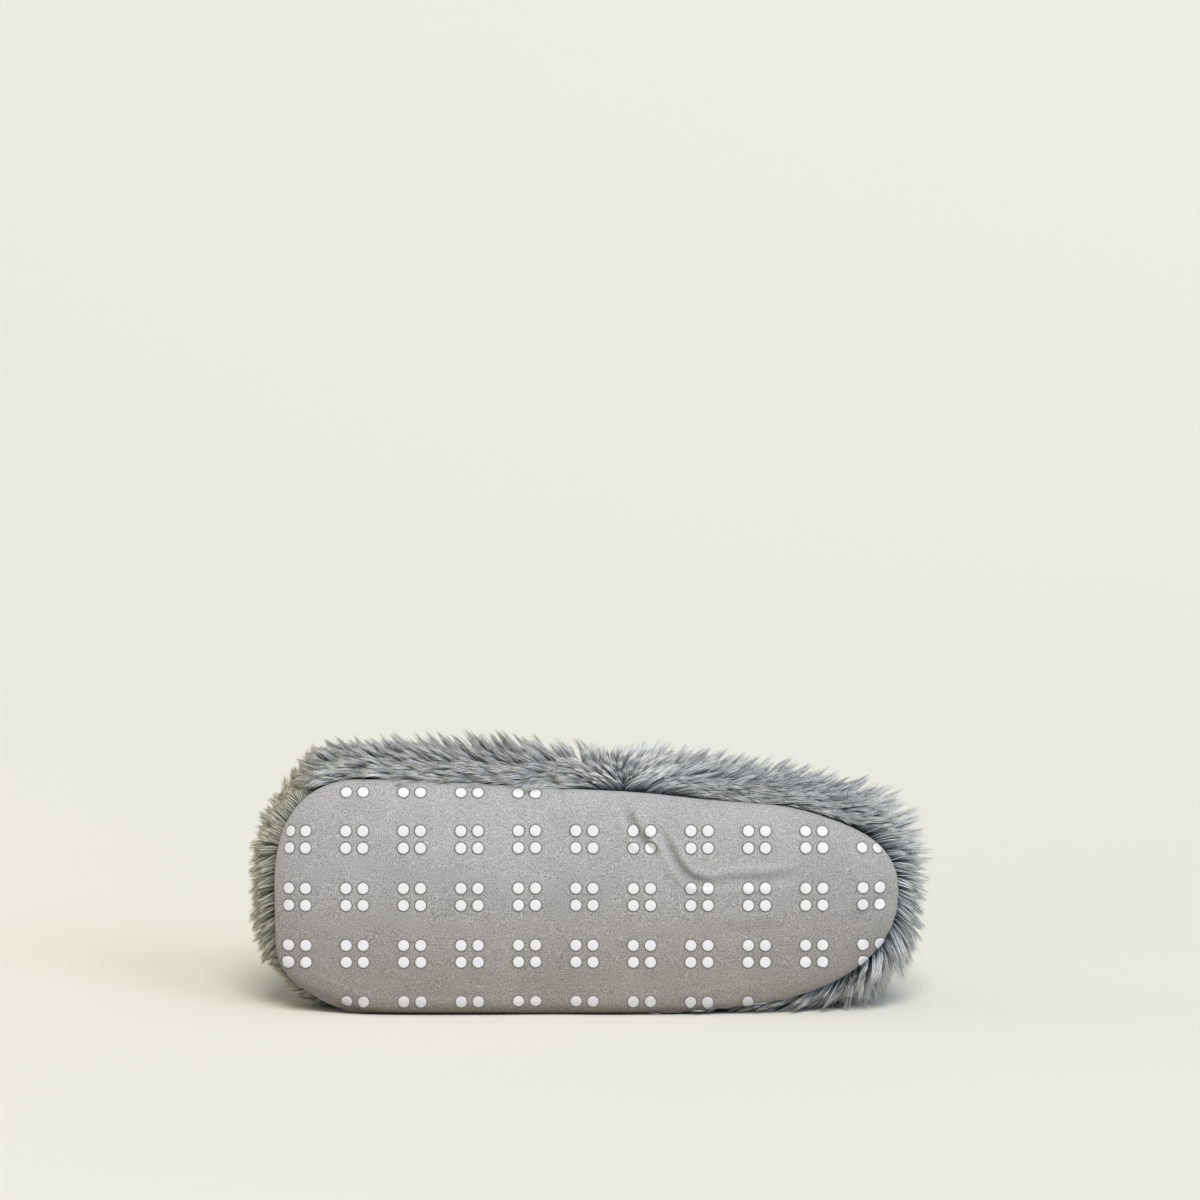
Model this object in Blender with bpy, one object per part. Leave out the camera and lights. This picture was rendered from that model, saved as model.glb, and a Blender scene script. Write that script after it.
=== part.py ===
"""Closed-back plush slipper for the right foot, lying on its inner side with the sole upright.

The slipper is worked out as if it stood on its tread: X runs from the heel to the toe, +Y points to
the inner (big toe) side and Z rises from the tread. An empty then lays it down on its inner side.
All lengths are in metres.
"""

import math
from collections import namedtuple

import bmesh
import bpy
import numpy as np

# Sole: a soft padded pad with a rounded edge
SOLE_LENGTH = 0.265
SOLE_THICKNESS = 0.015
SOLE_WIDEST_HEIGHT = 0.008
TREAD_EDGE_ROUND = 0.013
TOP_EDGE_ROUND = 0.004
EDGE_STEPS = 4
HEEL_ROUND = 0.042
HEEL_SQUARENESS = 2.4
TOE_ROUND = 0.060
TOE_SQUARENESS = 2.2
ARCH_HOLLOW = 0.0015
ARCH_SPAN = (0.085, 0.150)
TOE_SPRING = 0.006
TOE_SPRING_START = 0.205

# One row for each section of the sole: distance from the heel end, half width, and how far the
# middle of the section lies towards the outer side.
Section = namedtuple("Section", "along half_width outward")
SOLE_SECTIONS = (
    Section(0.000, 0.0494, 0.0040),
    Section(0.028, 0.0496, 0.0018),
    Section(0.055, 0.0498, 0.0002),
    Section(0.090, 0.0492, -0.0007),
    Section(0.125, 0.0483, -0.0017),
    Section(0.155, 0.0468, -0.0018),
    Section(0.185, 0.0438, -0.0019),
    Section(0.215, 0.0408, -0.0011),
    Section(0.240, 0.0382, -0.0003),
    Section(0.265, 0.0370, 0.0025),
)

# Upper: one wall of fur fabric, padding and lining, sewn to the sole and open at the collar
WALL = 0.0032
UPPER_INSET = 0.0022
SIDE_BULGE = 0.013
COLLAR_MIDDLE = 0.073
COLLAR_HALF_LENGTH = 0.059
COLLAR_HALF_WIDTH = 0.0305
THROAT_INWARD = 0.004
HEEL_HEIGHT = 0.080
SIDE_HEIGHT = 0.067
THROAT_HEIGHT = 0.083
SIDE_SEAM = 0.143

# Handles of the curve that each rib of the wall follows from sole to collar, as shares of its rise
# and of its run.
LOWER_HANDLE_RISE = 0.52
UPPER_HANDLE_RISE = 0.76
UPPER_HANDLE_RUN = 0.32

# Fur locks fused to the outside of the wall. Behind the side seam they are brushed to the heel. In
# front of it they fan out from a point above the foot opening, and along the seam they stand up.
LOCK_LENGTH = 0.0150
LOCK_LENGTH_SPREAD = 0.20
SEAM_LOCK_SHARE = 0.70
COLLAR_LOCK_SHARE = 0.55
LOCK_LEAN = math.radians(48)
LOCK_SWAY = math.radians(14)
NAP_TO_HEEL = np.array([-1.0, 0.0, 0.25])
NAP_FAN_SOURCE = np.array([0.085, 0.0, 0.110])
SEAM_PARTING = 0.016
FUR_SEED = 7

# Insole: a plush board that lies on the sole inside the wall
INSOLE_THICKNESS = 0.0045
INSOLE_EDGE_ROUND = 0.0015

# Fits and mesh density
SEAT_GAP = 0.0003
FLOOR_PRESS = 0.0009
RIBS_AROUND = 88
FUR_ROWS = 14
LINING_ROWS = 7
OUTLINE_SAMPLES = 4000
SHARP_EDGE = math.radians(35)


def table_column(rows, column, at):
    """A smooth curve through one column of a table, read at the distances in at."""
    stations = np.array([row.along for row in rows])
    values = np.array([getattr(row, column) for row in rows])
    slopes = np.gradient(values, stations)
    left = np.clip(np.searchsorted(stations, at, side="right") - 1, 0, len(rows) - 2)
    span = stations[left + 1] - stations[left]
    share = (at - stations[left]) / span
    rest = 1 - share
    ends = values[left] * rest**2 * (1 + 2 * share) + values[left + 1] * share**2 * (1 + 2 * rest)
    bends = slopes[left] * share * rest**2 - slopes[left + 1] * rest * share**2
    return ends + span * bends


def smooth_step(value, start, end):
    share = np.clip((value - start) / (end - start), 0, 1)
    return share * share * (3 - 2 * share)


def end_round(distance, length, squareness):
    """Share of the full width left at a distance from a rounded end of the sole."""
    gone = np.clip(1 - distance / length, 0, 1)
    return (1 - gone**squareness) ** (1 / squareness)


def sole_edge(along, side):
    """Sideways place of the sole's widest edge, with side 1 for the inner and -1 for the outer edge."""
    heel = end_round(along, HEEL_ROUND, HEEL_SQUARENESS)
    toe = end_round(SOLE_LENGTH - along, TOE_ROUND, TOE_SQUARENESS)
    half = table_column(SOLE_SECTIONS, "half_width", along) * heel * toe
    return side * half - table_column(SOLE_SECTIONS, "outward", along)


def evenly_spaced(points, count):
    """Points at even distances along a polyline, both ends included."""
    steps = np.linalg.norm(np.diff(points, axis=0), axis=1)
    walked = np.concatenate([[0], np.cumsum(steps)])
    wanted = np.linspace(0, walked[-1], count)
    return np.stack([np.interp(wanted, walked, column) for column in points.T], axis=1)


def sole_outline():
    """The sole's widest outline: from the heel along the inner edge to the toe and back outside."""
    turn = np.linspace(0, math.pi, OUTLINE_SAMPLES)
    along = SOLE_LENGTH * (1 - np.cos(turn)) / 2
    half_count = RIBS_AROUND // 2 + 1
    inner = evenly_spaced(np.stack([along, sole_edge(along, 1)], axis=1), half_count)
    outer = evenly_spaced(np.stack([along, sole_edge(along, -1)], axis=1), half_count)
    return np.concatenate([inner, outer[-2:0:-1]])


def outward_normals(outline):
    tangent = np.roll(outline, -1, axis=0) - np.roll(outline, 1, axis=0)
    normal = np.stack([-tangent[:, 1], tangent[:, 0]], axis=1)
    return normal / np.linalg.norm(normal, axis=1, keepdims=True)


OUTLINE = sole_outline()
OUTWARD = outward_normals(OUTLINE)
FLOOR = OUTLINE[:, 1].max() - FLOOR_PRESS


def toe_rise(along):
    """How far the toe springs up from the tread plane."""
    return TOE_SPRING * smooth_step(along, TOE_SPRING_START, SOLE_LENGTH + HEEL_ROUND)


def arch_rise(along):
    """The hollow under the waist of the foot."""
    start, end = ARCH_SPAN
    inside = np.clip((along - start) / (end - start), 0, 1)
    return ARCH_HOLLOW * np.sin(inside * math.pi) ** 2


def pressed(points):
    """Points with whatever would sink into the floor pressed flat against it."""
    flat = points.copy()
    flat[..., 1] = np.minimum(flat[..., 1], FLOOR)
    return flat


def level_ring(inset, height):
    """A ring of points at one height above the tread, inset from the sole's widest outline."""
    plan = OUTLINE - OUTWARD * inset
    lift = height + toe_rise(plan[:, 0])
    return pressed(np.column_stack([plan, lift]))


def add_ring(mesh, points):
    return [mesh.verts.new(point) for point in points]


def skin(mesh, ring, following):
    """A closed band of four-sided faces between two rings."""
    faces = []
    for i in range(len(ring)):
        k = (i + 1) % len(ring)
        faces.append(mesh.faces.new((ring[i], ring[k], following[k], following[i])))
    return faces


def ladder(mesh, ring):
    """Closes a ring of the sole with rungs that run straight across from edge to edge."""
    half = len(ring) // 2
    mesh.faces.new((ring[0], ring[1], ring[-1]))
    for i in range(1, half - 1):
        mesh.faces.new((ring[i], ring[i + 1], ring[-i - 1], ring[-i]))
    mesh.faces.new((ring[half - 1], ring[half], ring[half + 1]))


def new_material(name, colour, roughness):
    material = bpy.data.materials.new(name)
    material.use_nodes = True
    shader = material.node_tree.nodes["Principled BSDF"]
    shader.inputs["Base Color"].default_value = (*colour, 1)
    shader.inputs["Roughness"].default_value = roughness
    shader.inputs["Metallic"].default_value = 0
    return material


def finish_object(mesh, name, material):
    """Turns a worked-out mesh into a named object with its faces pointing out."""
    bmesh.ops.recalc_face_normals(mesh, faces=mesh.faces)
    data = bpy.data.meshes.new(name)
    mesh.to_mesh(data)
    mesh.free()
    data.materials.append(material)
    data.shade_smooth()
    data.set_sharp_from_angle(angle=SHARP_EDGE)
    made = bpy.data.objects.new(name, data)
    bpy.context.scene.collection.objects.link(made)
    return made


def padded_plate(name, material, rings):
    """A closed plate from rings that run from its underside round the edge to its top."""
    mesh = bmesh.new()
    placed = [add_ring(mesh, points) for points in rings]
    for ring, following in zip(placed, placed[1:]):
        skin(mesh, ring, following)
    ladder(mesh, placed[0])
    ladder(mesh, placed[-1])
    return finish_object(mesh, name, material)


def make_sole():
    """The padded pad under the foot: flat tread, rounded edge, arch and toe spring."""
    rings = []
    for step in range(EDGE_STEPS + 1):
        angle = math.pi / 2 * step / EDGE_STEPS
        inset = TREAD_EDGE_ROUND * (1 - math.sin(angle))
        ring = level_ring(inset, SOLE_WIDEST_HEIGHT * (1 - math.cos(angle)))
        ring[:, 2] += arch_rise(ring[:, 0]) * math.cos(angle)
        rings.append(ring)
    for step in range(1, EDGE_STEPS):
        angle = math.pi / 2 * step / (EDGE_STEPS - 1)
        inset = TOP_EDGE_ROUND * (1 - math.cos(angle))
        rise = (SOLE_THICKNESS - SOLE_WIDEST_HEIGHT) * math.sin(angle)
        rings.append(level_ring(inset, SOLE_WIDEST_HEIGHT + rise))
    suede = new_material("sole_suede", (0.37, 0.36, 0.345), 0.95)
    return padded_plate("sole", suede, rings)


def make_insole():
    """The plush board that the foot stands on, held between the sole and the wall."""
    edge = UPPER_INSET + WALL + SEAT_GAP
    bottom = SOLE_THICKNESS + SEAT_GAP
    top = bottom + INSOLE_THICKNESS
    rings = (
        level_ring(edge + INSOLE_EDGE_ROUND, bottom),
        level_ring(edge, bottom + INSOLE_EDGE_ROUND),
        level_ring(edge, top - INSOLE_EDGE_ROUND),
        level_ring(edge + INSOLE_EDGE_ROUND, top),
    )
    plush = new_material("insole_plush", (0.47, 0.465, 0.45), 1.0)
    return padded_plate("insole", plush, rings)


def collar_angles(along):
    """Angle round the collar for each rib: 0 at the heel and half a turn at the throat."""
    reach = np.where(along < COLLAR_MIDDLE, COLLAR_MIDDLE, SOLE_LENGTH - COLLAR_MIDDLE)
    return np.arccos(np.clip((COLLAR_MIDDLE - along) / reach, -1, 1))


def collar_points():
    """The collar's edge, one point for each rib of the wall."""
    angle = collar_angles(OUTLINE[:, 0])
    side = np.where(np.arange(RIBS_AROUND) <= RIBS_AROUND // 2, 1, -1)
    to_heel = np.maximum(np.cos(angle), 0)
    to_throat = np.maximum(-np.cos(angle), 0)
    along = COLLAR_MIDDLE - COLLAR_HALF_LENGTH * np.cos(angle)
    across = side * COLLAR_HALF_WIDTH * np.sin(angle)
    across += THROAT_INWARD * to_throat - table_column(SOLE_SECTIONS, "outward", along)
    height = SIDE_HEIGHT + (HEEL_HEIGHT - SIDE_HEIGHT) * to_heel**2
    height += (THROAT_HEIGHT - SIDE_HEIGHT) * to_throat**2
    return np.column_stack([along, across, height])


def wall_points(rows):
    """Outer face of the wall: rings from the sole's edge up to the collar."""
    foot = level_ring(UPPER_INSET, SOLE_THICKNESS + SEAT_GAP)
    collar = collar_points()
    rise = collar[:, 2:] - foot[:, 2:]
    up = np.array([0, 0, 1])
    out = np.column_stack([OUTWARD, np.zeros(RIBS_AROUND)])
    lower = foot + out * SIDE_BULGE + up * rise * LOWER_HANDLE_RISE
    upper = foot + (collar - foot) * (1, 1, 0) * UPPER_HANDLE_RUN + up * rise * UPPER_HANDLE_RISE
    rings = []
    for share in np.linspace(0, 1, rows + 1):
        rest = 1 - share
        curve = foot * rest**3 + lower * 3 * rest**2 * share
        curve = curve + upper * 3 * rest * share**2 + collar * share**3
        rings.append(curve)
    return pressed(np.array(rings))


def wall_normals(rings):
    """Outward normals of the wall at each of its points."""
    round_wall = np.roll(rings, -1, axis=1) - np.roll(rings, 1, axis=1)
    up_wall = np.gradient(rings, axis=0)
    normal = np.cross(up_wall, round_wall)
    return normal / np.linalg.norm(normal, axis=2, keepdims=True)


def lining_points(rows):
    """Inner face of the wall, one wall thickness inside the outer face."""
    rings = wall_points(rows)
    inside = rings - wall_normals(rings) * WALL
    inside[0, :, 2] = rings[0, :, 2]
    return inside


def collar_rim(outer, inner):
    """The rounded top of the wall, half a wall thickness above its two edges."""
    middle = (outer[-1] + inner[-1]) / 2
    upward = outer[-1] - outer[-2] + inner[-1] - inner[-2]
    upward /= np.linalg.norm(upward, axis=1, keepdims=True)
    return middle + upward * WALL / 2


def unit(vector):
    return vector / np.linalg.norm(vector)


def brushed_forward(place):
    """0 where the fur is brushed to the heel, 1 where it is brushed to the toe, half at the seam."""
    return smooth_step(place[0], SIDE_SEAM - SEAM_PARTING, SIDE_SEAM + SEAM_PARTING)


def lock_tip(root, normal, height_share, spread):
    """The tip of one lock: it leans with the nap, sways a little and stays above the floor."""
    forward = brushed_forward(root)
    nap = unit(root - NAP_FAN_SOURCE) * forward + unit(NAP_TO_HEEL) * (1 - forward)
    nap = unit(nap - normal * (nap @ normal))
    sway = LOCK_SWAY * spread.uniform(-1, 1)
    way = nap * math.cos(sway) + np.cross(normal, nap) * math.sin(sway)
    parted = abs(2 * forward - 1)
    lean = LOCK_LEAN * parted
    length = LOCK_LENGTH * (1 + LOCK_LENGTH_SPREAD * spread.uniform(-1, 1))
    length *= SEAM_LOCK_SHARE + (1 - SEAM_LOCK_SHARE) * parted
    length *= 1 - (1 - COLLAR_LOCK_SHARE) * height_share**3
    return pressed(root + length * (normal * math.cos(lean) + way * math.sin(lean)))


def add_locks(mesh, bands):
    """Draws each outer face of the wall out into a tapered lock, leaving those on the floor flat."""
    spread = np.random.default_rng(FUR_SEED)
    mesh.normal_update()
    free = []
    tips = []
    for row, band in enumerate(bands):
        height_share = row / (len(bands) - 1)
        for face in band:
            if max(vertex.co.y for vertex in face.verts) > FLOOR - SEAT_GAP:
                continue
            free.append(face)
            root = np.array(face.calc_center_median())
            tips.append(lock_tip(root, np.array(face.normal), height_share, spread))
    poked = bmesh.ops.poke(mesh, faces=free)
    for vertex, tip in zip(poked["verts"], tips):
        vertex.co = tip


def make_upper():
    """The hollow fur wall, open underneath and at the collar, with its locks."""
    outer = wall_points(FUR_ROWS)
    inner = lining_points(LINING_ROWS)
    mesh = bmesh.new()
    outer_rings = [add_ring(mesh, points) for points in outer]
    inner_rings = [add_ring(mesh, points) for points in inner]
    rim = add_ring(mesh, collar_rim(outer, inner))
    fur_bands = [skin(mesh, ring, following) for ring, following in zip(outer_rings, outer_rings[1:])]
    for ring, following in zip(inner_rings, inner_rings[1:]):
        skin(mesh, following, ring)
    skin(mesh, outer_rings[-1], rim)
    skin(mesh, rim, inner_rings[-1])
    skin(mesh, inner_rings[0], outer_rings[0])
    bmesh.ops.recalc_face_normals(mesh, faces=mesh.faces)
    add_locks(mesh, fur_bands)
    fur = new_material("upper_fur", (0.29, 0.31, 0.32), 0.9)
    return finish_object(mesh, "upper", fur)


def lay_down(pieces):
    """Lays the slipper on its inner side, with its origin under the middle of its box."""
    points = np.concatenate([[v.co for v in piece.data.vertices] for piece in pieces])
    low, high = points.min(axis=0), points.max(axis=0)
    pose = bpy.data.objects.new("lying_pose", None)
    bpy.context.scene.collection.objects.link(pose)
    pose.rotation_euler = (-math.pi / 2, 0, 0)
    pose.location = (-(low[0] + high[0]) / 2, -(low[2] + high[2]) / 2, FLOOR)
    for piece in pieces:
        piece.parent = pose


def main():
    for old in list(bpy.data.objects):
        bpy.data.objects.remove(old)
    lay_down([make_sole(), make_insole(), make_upper()])


main()
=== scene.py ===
"""Looks of the plush slipper: suede sole, printed grips, insole, lining, fur, stage, lights and camera."""

import math
from collections import namedtuple

import bmesh
import bpy
import numpy as np
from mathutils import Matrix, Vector, noise
from mathutils.bvhtree import BVHTree
from mathutils.geometry import convex_hull_2d
from mathutils.kdtree import KDTree


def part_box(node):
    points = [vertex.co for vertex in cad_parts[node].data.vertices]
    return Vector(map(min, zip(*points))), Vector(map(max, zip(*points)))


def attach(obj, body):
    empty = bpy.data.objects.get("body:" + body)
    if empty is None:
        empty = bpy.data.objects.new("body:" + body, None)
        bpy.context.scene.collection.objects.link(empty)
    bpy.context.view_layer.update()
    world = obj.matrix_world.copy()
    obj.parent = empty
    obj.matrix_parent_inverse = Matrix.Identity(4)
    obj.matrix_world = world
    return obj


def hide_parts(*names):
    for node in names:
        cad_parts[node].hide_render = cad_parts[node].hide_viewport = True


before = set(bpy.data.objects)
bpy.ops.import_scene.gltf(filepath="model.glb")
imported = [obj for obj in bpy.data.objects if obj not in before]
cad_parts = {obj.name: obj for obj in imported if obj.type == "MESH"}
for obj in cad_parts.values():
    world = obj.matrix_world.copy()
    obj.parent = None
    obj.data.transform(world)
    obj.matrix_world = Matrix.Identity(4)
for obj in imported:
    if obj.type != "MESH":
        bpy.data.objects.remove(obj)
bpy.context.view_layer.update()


# Sole. A foam pad in a brushed suede cover, cut to the shape of the foot and sewn to the upper round its
# edge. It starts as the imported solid, remeshed finely enough to hold the folds that its cover has taken.
SOLE_VOXEL = 0.00118
SOLE_SOFTENING = 9
SOLE_CROWN = 0.0012
SOLE_CROWN_REACH = 0.016
SOLE_ROLL = 0.0024
FLOOR_EDGE_FULLNESS = 0.0032
FLOOR_EDGE_LIFT = 0.0012
FLOOR_EDGE_SPAN = (0.0005, 0.0045)
HEEL_CORNER = 0.0033
HEEL_CORNER_PLACE = (0.0050, 0.0220)
HEEL_CORNER_REACH = 0.0135
HEEL_TUCK = 0.0034
HEEL_TUCK_PLACE = (0.024, 0.002)
HEEL_TUCK_REACH = 0.014
EDGE_RISE = 0.008
TOE_SPRING = 0.006
TOE_SPRING_SPAN = (0.205, 0.307)
SOLE_WAVES = 0.00035
SOLE_WAVE_LENGTH = 0.030
SUEDE_DARK = (0.199, 0.200, 0.203)
SUEDE_LIGHT = (0.518, 0.516, 0.523)
# Painted shade: the suede grows darker and warmer towards the floor.
SUEDE_PAINTED_LOW_SHADE = (0.648, 0.612, 0.562)
# Painted shadow: a dark warm line along the sole's lowest millimetres, where it meets the floor.
SUEDE_PAINTED_CONTACT_SHADOW = (0.50, 0.43, 0.35)
SUEDE_ENDS = (0.93, 0.93, 0.93)
PAINTED_LOW_SHADE_SPAN = (0.0, 0.085)
PAINTED_CONTACT_SPAN = (0.0010, 0.0065)
ENDS_SPAN = (0.050, 0.122)
CREASE_FULL = 0.0021
CREASE_SHADE = 0.22
RIDGE_PLACE = 2.3
RIDGE_WIDTH = 1.1
RIDGE_SHARE = 0.5

sole_low, sole_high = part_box("sole")
heel_end = sole_low.x
tread = sole_low.y
sole_length = sole_high.x - sole_low.x
sole_middle = (sole_low.z + sole_high.z) / 2

# Folds of the sole's cover: trough depth, half width, and points as distance from the heel end and height
# above the floor.
Fold = namedtuple("Fold", "depth half_width points")
SOLE_FOLDS = (
    Fold(0.0021, 0.0016, ((0.1470, 0.0960), (0.1500, 0.0860), (0.1525, 0.0805), (0.1555, 0.0755),
                          (0.1605, 0.0700), (0.1640, 0.0670))),
    Fold(0.0021, 0.0015, ((0.1590, 0.0840), (0.1655, 0.0750), (0.1690, 0.0685), (0.1720, 0.0632),
                          (0.1765, 0.0590), (0.1845, 0.0567), (0.1930, 0.0570))),
    Fold(0.0013, 0.0018, ((0.1800, 0.0572), (0.1990, 0.0580), (0.2090, 0.0584), (0.2220, 0.0612))),
    Fold(0.0006, 0.0026, ((0.1860, 0.0378), (0.2000, 0.0366), (0.2140, 0.0378))),
    Fold(0.0007, 0.0026, ((0.2400, 0.0385), (0.2480, 0.0430), (0.2560, 0.0480), (0.2620, 0.0540))),
)


def link_piece(name, mesh):
    """Puts a mesh into the scene as a piece of the slipper that moves with its one body."""
    piece = bpy.data.objects.new(name, mesh)
    bpy.context.scene.collection.objects.link(piece)
    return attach(piece, "root")


def even_copy(node, name, voxel, softening):
    """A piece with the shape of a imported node, in small even faces with softened edges."""
    shape = bmesh.new()
    shape.from_mesh(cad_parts[node].data)
    bmesh.ops.remove_doubles(shape, verts=shape.verts, dist=1e-5)
    mesh = bpy.data.meshes.new(name)
    shape.to_mesh(mesh)
    shape.free()
    mesh.materials.clear()
    piece = link_piece(name, mesh)
    remesh = piece.modifiers.new("even faces", "REMESH")
    remesh.mode = "VOXEL"
    remesh.voxel_size = voxel
    soften = piece.modifiers.new("softened edges", "SMOOTH")
    soften.factor = 0.5
    soften.iterations = softening
    graph = bpy.context.evaluated_depsgraph_get()
    fine = bpy.data.meshes.new_from_object(piece.evaluated_get(graph))
    piece.modifiers.clear()
    piece.data = fine
    fine.shade_smooth()
    return piece


def read_points(mesh):
    points = np.empty(len(mesh.vertices) * 3)
    mesh.vertices.foreach_get("co", points)
    return points.reshape(-1, 3)


def read_normals(mesh):
    normals = np.empty(len(mesh.vertices) * 3)
    mesh.vertices.foreach_get("normal", normals)
    return normals.reshape(-1, 3)


def write_points(mesh, points):
    """Moves a mesh's vertices, none of them below the floor."""
    points[:, 2] = np.maximum(points[:, 2], 0)
    mesh.vertices.foreach_set("co", points.ravel())
    mesh.update()


def smooth_step(value, start, end):
    share = np.clip((value - start) / (end - start), 0, 1)
    return share * share * (3 - 2 * share)


def toe_lift(x):
    """How far the toe end of the sole turns up at a distance along it."""
    return TOE_SPRING * smooth_step(x - heel_end, *TOE_SPRING_SPAN)


def rounded_line(points, steps=12):
    """Points on a smooth curve through a few given points."""
    given = np.array([points[0], *points, points[-1]])
    curve = []
    for before, start, end, after in zip(given, given[1:], given[2:], given[3:]):
        for share in np.linspace(0, 1, steps, endpoint=False):
            bend = (end - before) * share + (2 * before - 5 * start + 4 * end - after) * share**2
            bend = bend + (3 * start - before - 3 * end + after) * share**3
            curve.append(start + bend / 2)
    curve.append(given[-1])
    return np.array(curve)


def fold_depth(places, fold):
    """How far a fold sinks the cover at each place: a trough with a low ridge along both sides."""
    line = rounded_line(fold.points)
    gaps = np.linalg.norm(places[:, None, :] - line[None, :, :], axis=2)
    nearest = gaps.argmin(axis=1)
    away = gaps[np.arange(len(places)), nearest] / fold.half_width
    along = nearest / (len(line) - 1)
    fade = smooth_step(along, 0, 0.32) * smooth_step(1 - along, 0, 0.3)
    trough = np.exp(-away**2)
    ridge = np.exp(-((away - RIDGE_PLACE) / RIDGE_WIDTH) ** 2)
    return fold.depth * fade * (trough - RIDGE_SHARE * ridge)


def wavy(points, length, offset=0.0):
    """Slow noise from about -1 to 1 at each point."""
    return np.array([noise.noise(Vector(point) / length + Vector((offset, 0, 0))) for point in points])


def sole_outline(count):
    """Even points round the sole's widest edge: from the heel by the floor side to the toe and back."""
    flat = [(vertex.co.x, vertex.co.z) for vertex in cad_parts["sole"].data.vertices]
    hull = np.array([flat[index] for index in convex_hull_2d(flat)])
    turn = np.arctan2(sole_middle - hull[:, 1], -hull[:, 0]) % (2 * math.pi)
    hull = hull[np.argsort(turn)]
    closed = np.vstack([hull, hull[:1]])
    walked = np.concatenate([[0], np.cumsum(np.linalg.norm(np.diff(closed, axis=0), axis=1))])
    wanted = np.linspace(0, walked[-1], count, endpoint=False)
    even = np.stack([np.interp(wanted, walked, column) for column in closed.T], axis=1)
    reach = max(1, round(count * 0.006))
    window = [np.roll(even, step, axis=0) for step in range(-reach, reach + 1)]
    return np.mean(window, axis=0)


def outline_normals(outline):
    """Directions out of a closed outline in the plane of the sole."""
    tangent = np.roll(outline, -1, axis=0) - np.roll(outline, 1, axis=0)
    normal = np.stack([tangent[:, 1], -tangent[:, 0]], axis=1)
    normal /= np.linalg.norm(normal, axis=1, keepdims=True)
    outwards = np.sign(np.sum(normal * (outline - outline.mean(axis=0))))
    return normal * outwards


fine_outline = sole_outline(1400)
fine_outward = outline_normals(fine_outline)
outline_tree = KDTree(len(fine_outline))
for index, (x, z) in enumerate(fine_outline):
    outline_tree.insert((x, z, 0), index)
outline_tree.balance()


def edge_depths(places):
    """Distance inside the sole's edge, negative outside it, and the way out, for points in its plane."""
    nearest = np.array([outline_tree.find((x, z, 0))[1] for x, z in places])
    outward = fine_outward[nearest]
    return np.sum((fine_outline[nearest] - places) * outward, axis=1), outward


sole = even_copy("sole", "sole_pad", SOLE_VOXEL, SOLE_SOFTENING)
points = read_points(sole.data)
normals = read_normals(sole.data)
tread_side = np.clip(-normals[:, 1], 0, 1) ** 2
floor_edge = 2 * np.clip(-normals[:, 1], 0, 1) * np.clip(-normals[:, 2], 0, 1)
depth, outward = edge_depths(points[:, (0, 2)])
share_across = np.clip((points[:, 2] - sole_middle) / (sole_high.z - sole_middle), -1, 1)
sunk = -SOLE_CROWN * (1 - np.exp(-np.maximum(depth, 0) / SOLE_CROWN_REACH))
sunk += SOLE_ROLL * share_across**2
sunk += SOLE_WAVES * wavy(points, SOLE_WAVE_LENGTH)
places = points[:, (0, 2)] - (heel_end, 0)
creases = sum(fold_depth(places, fold) for fold in SOLE_FOLDS)
sunk += creases
points[:, 1] += sunk * tread_side
points += normals * (FLOOR_EDGE_FULLNESS * floor_edge)[:, None]
overhang = smooth_step(tread + EDGE_RISE - points[:, 1], *FLOOR_EDGE_SPAN)
lift = FLOOR_EDGE_LIFT * overhang
points[:, 2] = (points[:, 2] + lift + np.hypot(points[:, 2] - lift, FLOOR_EDGE_LIFT * overhang)) / 2
corner = np.linalg.norm(places - HEEL_CORNER_PLACE, axis=1) / HEEL_CORNER_REACH
tuck = np.linalg.norm(places - HEEL_TUCK_PLACE, axis=1) / HEEL_TUCK_REACH
moved_out = HEEL_CORNER * np.exp(-corner**2) - HEEL_TUCK * np.exp(-tuck**2) * overhang
points[:, (0, 2)] += outward * moved_out[:, None]
write_points(sole.data, points)
# Painted shade in each fold's trough and a painted highlight on its ridges, kept per point.
fold_shading = (creases * tread_side / CREASE_FULL).astype(np.float32)
sole.data.attributes.new("crease", "FLOAT", "POINT").data.foreach_set("value", fold_shading)


def new_material(name):
    """An empty material and its shader."""
    material = bpy.data.materials.new(name)
    material.use_nodes = True
    return material, material.node_tree, material.node_tree.nodes["Principled BSDF"]


def add_node(tree, kind, values=None, **settings):
    """Adds a node with its settings, its input values by name, and links for inputs that are sockets."""
    node = tree.nodes.new(kind)
    for name, setting in settings.items():
        setattr(node, name, setting)
    for name, value in (values or {}).items():
        if isinstance(value, bpy.types.NodeSocket):
            tree.links.new(value, node.inputs[name])
        else:
            node.inputs[name].default_value = value
    return node


def mixed(tree, share, first, second, blend="MIX"):
    """A colour mixed from two colours or sockets."""
    node = add_node(tree, "ShaderNodeMix", data_type="RGBA", blend_type=blend)
    for name, value in (("Factor_Float", share), ("A_Color", first), ("B_Color", second)):
        socket = next(each for each in node.inputs if each.identifier == name)
        if isinstance(value, bpy.types.NodeSocket):
            tree.links.new(value, socket)
        else:
            socket.default_value = value if name == "Factor_Float" else (*value, 1)
    return next(each for each in node.outputs if each.identifier == "Result_Color")


def tinted(tree, colour, share, first, second):
    """A colour multiplied by a tint that goes from one colour to another."""
    return mixed(tree, 1.0, colour, mixed(tree, share, first, second), blend="MULTIPLY")


def scaled(tree, colour, factor):
    """A colour made lighter or darker by a factor."""
    node = add_node(tree, "ShaderNodeVectorMath", {"Vector": colour, "Scale": factor}, operation="SCALE")
    return node.outputs["Vector"]


def rising(tree, value, span):
    """A share that rises softly from 0 to 1 as a value passes through a span."""
    node = add_node(tree, "ShaderNodeMapRange", {"Value": value, "From Min": span[0], "From Max": span[1]},
                    interpolation_type="SMOOTHSTEP")
    return node.outputs["Result"]


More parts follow.
